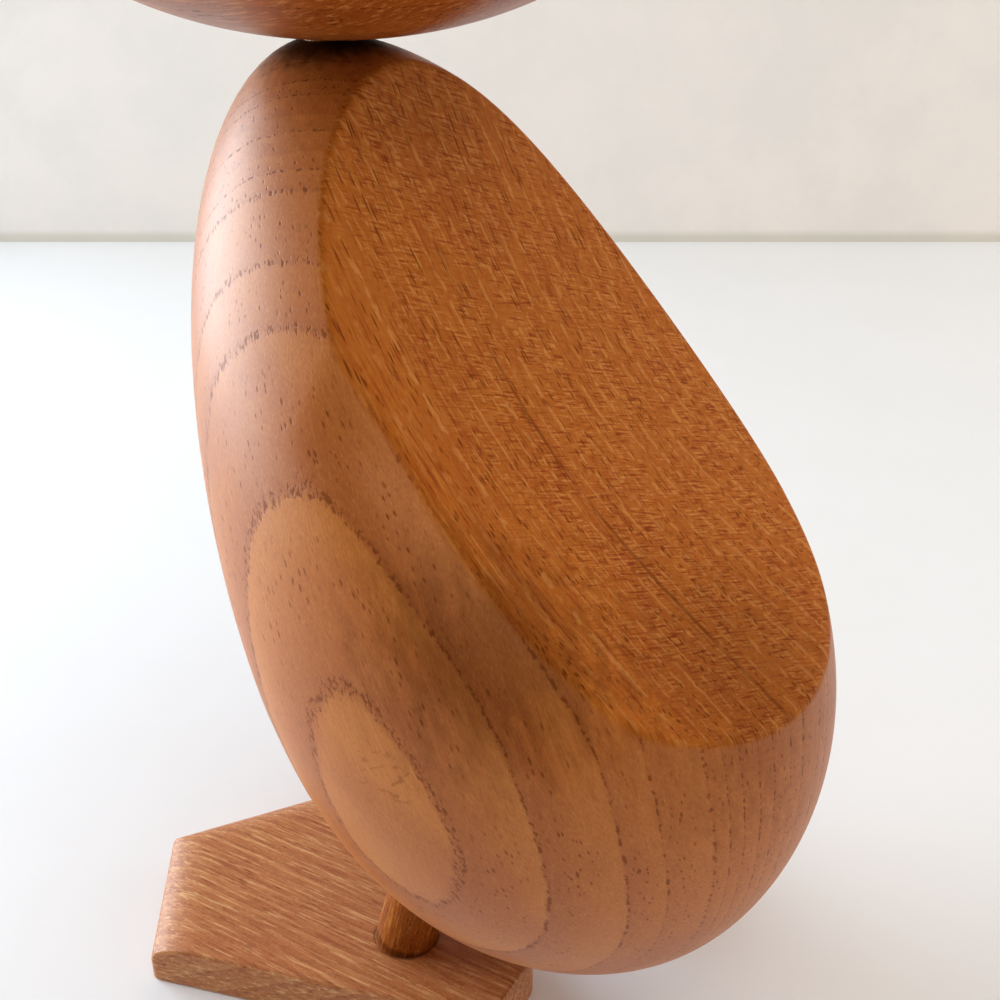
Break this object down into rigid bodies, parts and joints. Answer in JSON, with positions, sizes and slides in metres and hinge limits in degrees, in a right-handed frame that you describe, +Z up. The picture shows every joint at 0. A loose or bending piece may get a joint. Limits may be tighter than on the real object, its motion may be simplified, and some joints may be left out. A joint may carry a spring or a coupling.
{
  "type": "wooden bird figure",
  "caption": "Standing wooden bird figure with a leaning egg-shaped body, a scooped back, a pebble head that turns on a neck dowel, dowel legs and flat webbed feet.",
  "frame": {"origin": "on the surface that the figure stands on, under the middle of its bounding box", "axes": "+Z up; the figure faces -Y; +X is towards the figure's left"},
  "size_m": [0.0976, 0.153, 0.2066],
  "materials": {
    "body_wood": "oiled satin, reddish brown with ring lines",
    "head_wood": "oiled satin, reddish brown with ring lines",
    "foot_wood": "oiled satin, lighter brown, streaky",
    "dowel_wood": "oiled, slightly rough straight grain",
    "bill_wood": "oiled satin, lighter brown",
    "eye_wood": "polished dark wood"
  },
  "bodies": {
    "stand": {"body": "body_wood", "neck_dowel": "dowel_wood", "leg_left": "dowel_wood", "leg_right": "dowel_wood", "foot_left": "foot_wood", "foot_right": "foot_wood"},
    "turning_head": {"head": "head_wood", "bill": "bill_wood", "eye_left": "eye_wood", "eye_right": "eye_wood"}
  },
  "joints": [
    {"name": "head_turn", "type": "hinge", "parent": "stand", "child": "turning_head", "pos_m": [0, -0.00748, 0.1444], "axis": [0, 0, 1], "continuous": true}
  ]
}
